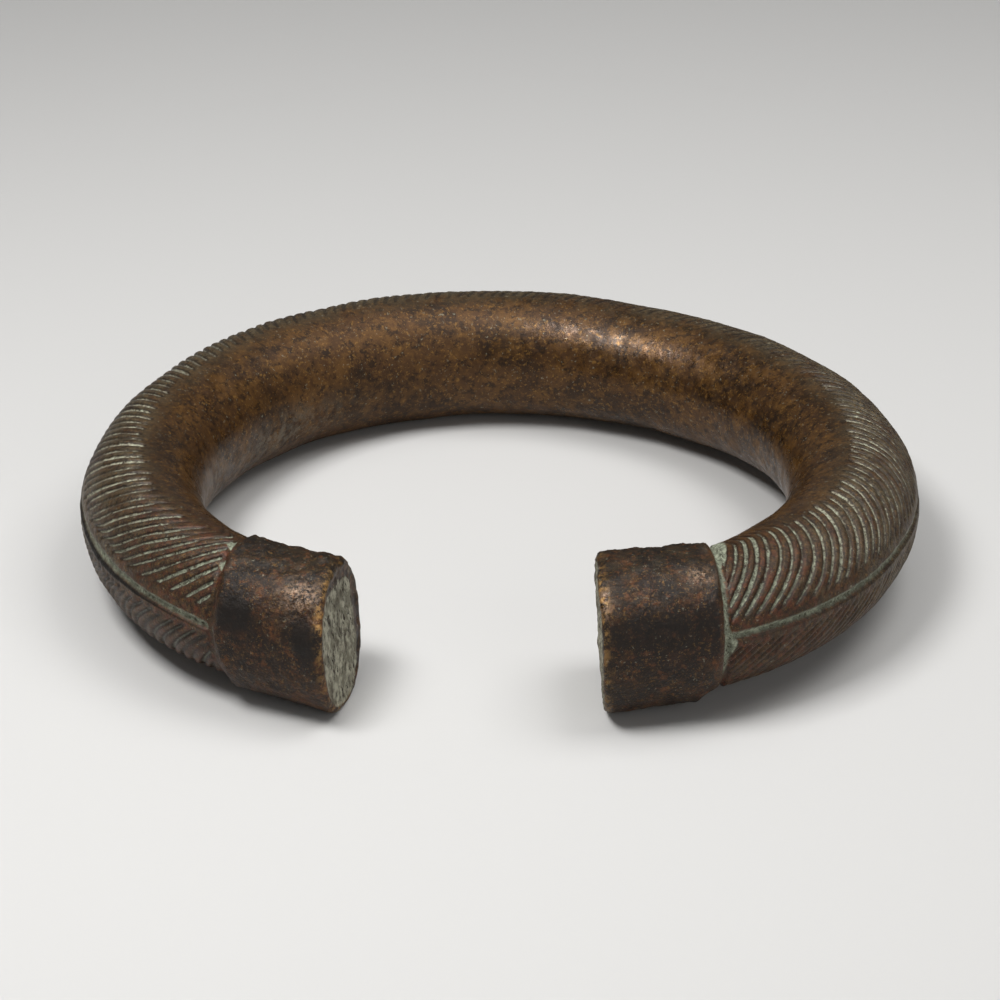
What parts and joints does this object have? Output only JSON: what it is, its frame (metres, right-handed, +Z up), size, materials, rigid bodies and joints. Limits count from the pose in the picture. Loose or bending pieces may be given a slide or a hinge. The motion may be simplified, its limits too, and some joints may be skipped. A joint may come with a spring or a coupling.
{
  "type": "penannular currency bracelet",
  "caption": "Open ring of thick cast bronze bar with plain flat-ended collars and slanting engraved lines either side of a groove round its outer face.",
  "frame": {"origin": "on the ground under the middle of the bracelet as it lies", "axes": "+Z up, square to the ground the bracelet lies on; -Y towards the gap between the terminals; +X across the widest part, to the right seen from the gap"},
  "size_m": [0.102, 0.0888, 0.0185],
  "materials": {
    "bronze": "dark reddish-brown patina, worn golden on the rims, pale green corrosion in the engraved lines"
  },
  "bodies": {
    "root": {"bracelet": "bronze"}
  },
  "joints": []
}
